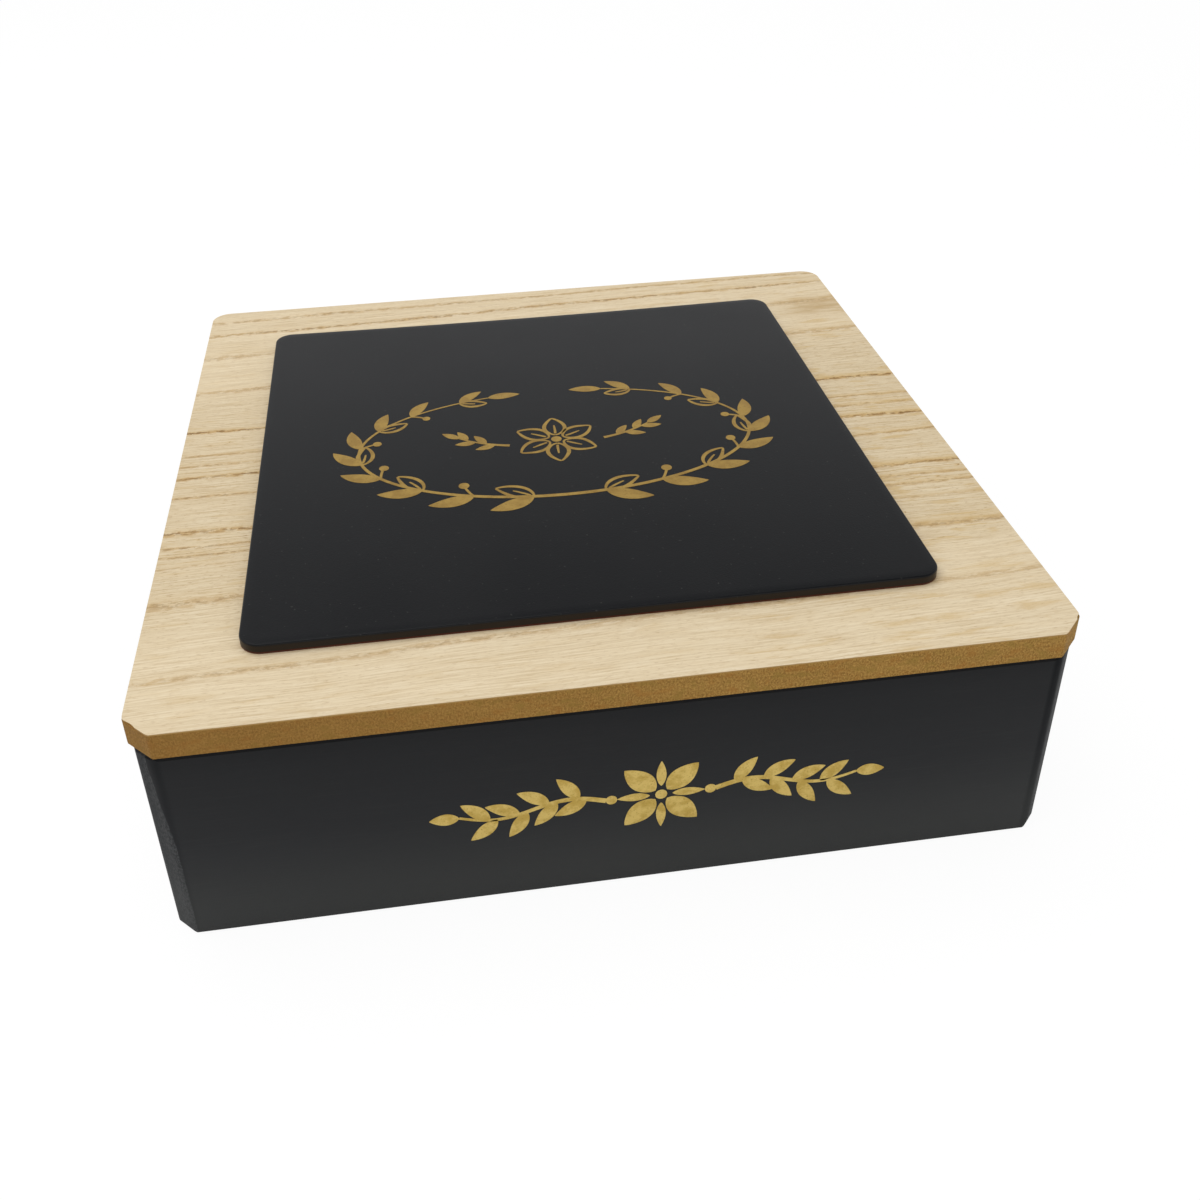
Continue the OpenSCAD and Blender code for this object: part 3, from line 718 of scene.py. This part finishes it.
def towards(heading):
    # unit vector in a direction given in degrees
    return np.array([math.cos(math.radians(heading)), math.sin(math.radians(heading))])


def arcLine(start, heading, length, bend, count=22):
    # a line of a given length whose heading turns evenly by bend degrees
    s = np.linspace(0, 1, count)
    angle = np.radians(heading + bend * s)
    stepVector = np.stack([np.cos(angle), np.sin(angle)], 1) * (length / (count - 1))
    return np.asarray(start, float) + np.concatenate([[[0, 0]], np.cumsum(stepVector[:-1], 0)])


def lens(count, width, fullness=0.8, early=0.85, least=0.06):
    # leaf width along its length: a sine bump raised to a power, widest a little before the middle
    s = np.linspace(0, 1, count)
    return np.maximum(width * np.sin(np.pi * s ** early) ** fullness, least)


def leaf(target, start, heading, length, width, bend):
    line = arcLine(start, heading, length, bend)
    target.stroke(line, lens(len(line), width))


def openLeaf(target, start, heading, length, width, thick, bend, midrib=(2, 13)):
    # a leaf drawn as two outlines and a short midrib between two of its stations
    line = arcLine(start, heading, length, bend)
    side = sideways(line) * (lens(len(line), width)[:, None] / 2)
    swell = thick * (0.55 + 0.45 * np.sin(np.pi * np.linspace(0, 1, len(line))))
    target.stroke(line + side, swell)
    target.stroke(line - side, swell)
    inner = slice(*midrib)
    target.stroke(line[inner], swell[inner] * np.linspace(0.9, 0.4, len(line[inner])))


def berry(target, centre, radius):
    # a disc as one stroke: the width at each station is the chord of the circle there
    s = np.linspace(-0.999, 0.999, 17)
    line = np.stack([centre[0] + radius * s, np.full_like(s, centre[1])], 1)
    target.stroke(line, 2 * radius * np.sqrt(1 - s ** 2))


wreath = {"centre": (-2.0, -4.5), "reachX": 62.0, "reachY": 33.0, "stem": 1.5, "stemTip": 0.6,
          "turn": (-97, 72), "stations": 90, "spots": (9, 84), "pairs": 9, "shrink": 0.72,
          "leafLength": 14.5, "leafWidth": 5.4, "outerTurn": 40, "outerBend": 26, "innerTurn": 36,
          "innerLength": 0.86, "innerBend": -24, "line": 1.25,
          "stalkTurn": 8, "stalkLength": 7.0, "stalkBend": 20, "stalkPoints": 10, "stalk": 0.8,
          "berry": 1.7, "tipLeaf": 0.75, "tipBend": 10,
          "petals": 6, "petalGap": 2.6, "petalTurn": -6, "petalLength": 11.0, "petalWidth": 6.6,
          "petalBend": 12,
          # the two sprays beside the blossom, and where their leaves sit: station and turn
          "sprayStart": (15, -1.5), "sprayTurn": 78, "sprayLength": 17, "sprayBend": 26, "sprayPoints": 30,
          "spray": (1.3, 0.5), "sprayLeaves": ((8, 42), (13, -42), (19, 38), (24, -38), (29, 0)),
          "sprayLeafLength": 6.6, "sprayLeafWidth": 2.7, "sprayLeafBend": -0.3}


def wreathHalf(target, centre, mirror):
    w = wreath
    # stem: half of an ellipse from the bottom to just short of the top
    t = np.linspace(*np.radians(w["turn"]), w["stations"])
    stem = centre + np.stack([mirror * w["reachX"] * np.cos(t), w["reachY"] * np.sin(t)], 1)
    target.stroke(stem, np.linspace(w["stem"], w["stemTip"], len(t)))
    spots = np.linspace(*w["spots"], w["pairs"]).astype(int)
    shrink = np.linspace(1.0, w["shrink"], w["pairs"])
    for number, (spot, size) in enumerate(zip(spots, shrink)):
        heading = headingOf(stem[spot + 1] - stem[spot - 1])
        inner = heading + w["innerTurn"] * mirror
        leaf(target, stem[spot], heading - w["outerTurn"] * mirror, w["leafLength"] * size,
             w["leafWidth"] * size, w["outerBend"] * mirror)
        # open leaves and berries take turns on the inner side
        if number % 2 == 0:
            openLeaf(target, stem[spot], inner, w["leafLength"] * w["innerLength"] * size,
                     w["leafWidth"] * size, w["line"], w["innerBend"] * mirror)
        else:
            stalk = arcLine(stem[spot], inner + w["stalkTurn"] * mirror, w["stalkLength"] * size,
                            w["stalkBend"] * mirror, w["stalkPoints"])
            target.stroke(stalk, np.full(w["stalkPoints"], w["stalk"]))
            berry(target, stalk[-1], w["berry"] * size)
    leaf(target, stem[-1], headingOf(stem[-1] - stem[-2]), w["leafLength"] * w["tipLeaf"],
         w["leafWidth"] * w["tipLeaf"], w["tipBend"] * mirror)


def drawWreath(target):
    w = wreath
    centre = np.array(w["centre"])
    for mirror in (-1, 1):
        wreathHalf(target, centre, mirror)
    # blossom in the middle: open petals round a dot
    for number in range(w["petals"]):
        heading = 90 + 360 / w["petals"] * number
        openLeaf(target, centre + w["petalGap"] * towards(heading), heading + w["petalTurn"],
                 w["petalLength"], w["petalWidth"], w["line"], w["petalBend"])
    berry(target, centre, w["berry"])
    for mirror in (-1, 1):
        spray = arcLine(centre + np.array(w["sprayStart"]) * (mirror, 1), 90 - mirror * w["sprayTurn"],
                        w["sprayLength"], mirror * w["sprayBend"], w["sprayPoints"])
        target.stroke(spray, np.linspace(*w["spray"], w["sprayPoints"]))
        for spot, turn in w["sprayLeaves"]:
            leaf(target, spray[spot], headingOf(spray[spot] - spray[spot - 1]) + turn,
                 w["sprayLeafLength"], w["sprayLeafWidth"], turn * w["sprayLeafBend"])


frieze = {"centre": (9.5, 30.5), "stemStart": 14.5, "reach": 38.0, "sway": 2.0, "stem": 1.6, "stemTip": 0.8,
          "stations": 60, "leafLength": 9.6, "leafWidth": 3.9, "leafTurn": 50, "leafBend": 18,
          "leafSpots": (8, 20, 32, 44), "leafShift": 3, "tipLeaf": 0.8, "berryGap": 1.4, "berry": 1.5,
          # rosette: turn, length, width and gap of its full and its slim petals
          "petals": ((45, 11.5, 6.4, 2.2), (0, 8.6, 2.6, 3.0)), "middle": 1.6}


def drawFrieze(target):
    f = frieze
    centre = np.array(f["centre"])
    for quarter in range(4):
        for turn, length, width, gap in f["petals"]:
            heading = turn + 90 * quarter
            leaf(target, centre + gap * towards(heading), heading, length, width, 0)
    berry(target, centre, f["middle"])
    for mirror in (-1, 1):
        # a lying spray: its stem is one slow wave
        s = np.linspace(0, 1, f["stations"])
        stem = centre + np.stack([mirror * (f["stemStart"] + f["reach"] * s),
                                  f["sway"] * np.sin(2 * np.pi * s)], 1)
        target.stroke(stem, np.linspace(f["stem"], f["stemTip"], f["stations"]))
        for spot in f["leafSpots"]:
            heading = headingOf(stem[spot + 1] - stem[spot - 1])
            leaf(target, stem[spot], heading + f["leafTurn"], f["leafLength"],
                 f["leafWidth"], -f["leafBend"])
            leaf(target, stem[spot + f["leafShift"]], heading - f["leafTurn"], f["leafLength"],
                 f["leafWidth"], f["leafBend"])
        leaf(target, stem[-1], 90 - 90 * mirror, f["leafLength"] * f["tipLeaf"], f["leafWidth"], 0)
        berry(target, stem[0] - np.array([mirror * f["berryGap"], 0]), f["berry"])


# the print on the plaque is browner than the one on the front wall
gold = {"plaque": [(128, 98, 40), (160, 127, 58), (178, 146, 74)],
        "front": [(168, 134, 56), (196, 164, 78), (222, 194, 112)],
        "plaquePatch": 0.25, "frontPatch": 0.3, "metallic": 0.45, "specular": 0.3,
        "roughness": (0.36, 0.55), "bump": 0.02}


def goldFinish(name, colours, patchStretch):
    mat, tree, shader = newMaterial(name, gold["specular"], metallic=gold["metallic"])
    dark, mid, bright = colours
    patch = pattern(tree, (patchStretch,) * 3, 4.0, 0.65)
    fleck = pattern(tree, (1.9, 1.9, 1.9), 2.0, 0.6, (4, 4, 0))
    base = blend(tree, step(tree, patch, 0.35, 0.62), mid, bright)
    base = blend(tree, step(tree, fleck, 0.56, 0.72, 0.0, 0.6), base, dark)
    plug(tree, base, shader.inputs["Base Color"])
    plug(tree, step(tree, patch, 0.3, 0.7, *gold["roughness"]), shader.inputs["Roughness"])
    bump(tree, shader, fleck, gold["bump"])
    return mat


plaquePrint = Print()
drawWreath(plaquePrint)
points, faces = plaquePrint.arrays()
points[:, 2] += plaque["top"]
wreathObject = meshObject("plaque_gold_wreath", points, faces)
wreathObject.data.materials.append(goldFinish("gold_plaque_print", gold["plaque"], gold["plaquePatch"]))
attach(wreathObject, "lid")

frontPrint = Print()
drawFrieze(frontPrint)
points, faces = frontPrint.arrays()
# the drawing stands on the front wall: its second axis becomes z, its height points to the viewer
points = np.stack([points[:, 0], box["front"] - points[:, 2], points[:, 1]], 1)
friezeObject = meshObject("front_gold_frieze", points, faces)
friezeObject.data.materials.append(goldFinish("gold_front_print", gold["front"], gold["frontPatch"]))
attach(friezeObject, "box")
print("gold prints drawn")


# hinges
brass = {"leaf": [(206, 170, 98), (182, 147, 82)], "screw": [(226, 202, 146), (202, 174, 116)],
         "roughness": (0.3, 0.4), "bump": 0.01}


def hingeBrass(name, bright, dull):
    mat, tree, shader = newMaterial(name, metallic=1.0)
    tarnish = pattern(tree, (0.6, 0.6, 0.6), 4.0, 0.7)
    rolled = pattern(tree, (0.2, 5.0, 5.0))
    plug(tree, blend(tree, step(tree, tarnish, 0.42, 0.7), bright, dull), shader.inputs["Base Color"])
    plug(tree, step(tree, tarnish, 0.3, 0.7, *brass["roughness"]), shader.inputs["Roughness"])
    bump(tree, shader, rolled, brass["bump"])
    return mat


leafBrass = hingeBrass("plated_hinge_brass", *brass["leaf"])
screwBrass = hingeBrass("paler_screw_brass", *brass["screw"])
for side in ("left_hinge_", "right_hinge_"):
    dress(leafBrass, side + "box_leaf", side + "pin", side + "lid_leaf")
    dress(screwBrass, side + "box_screws", side + "lid_screws")
print("hinges dressed")

bpy.context.scene.view_settings.view_transform = "Standard"
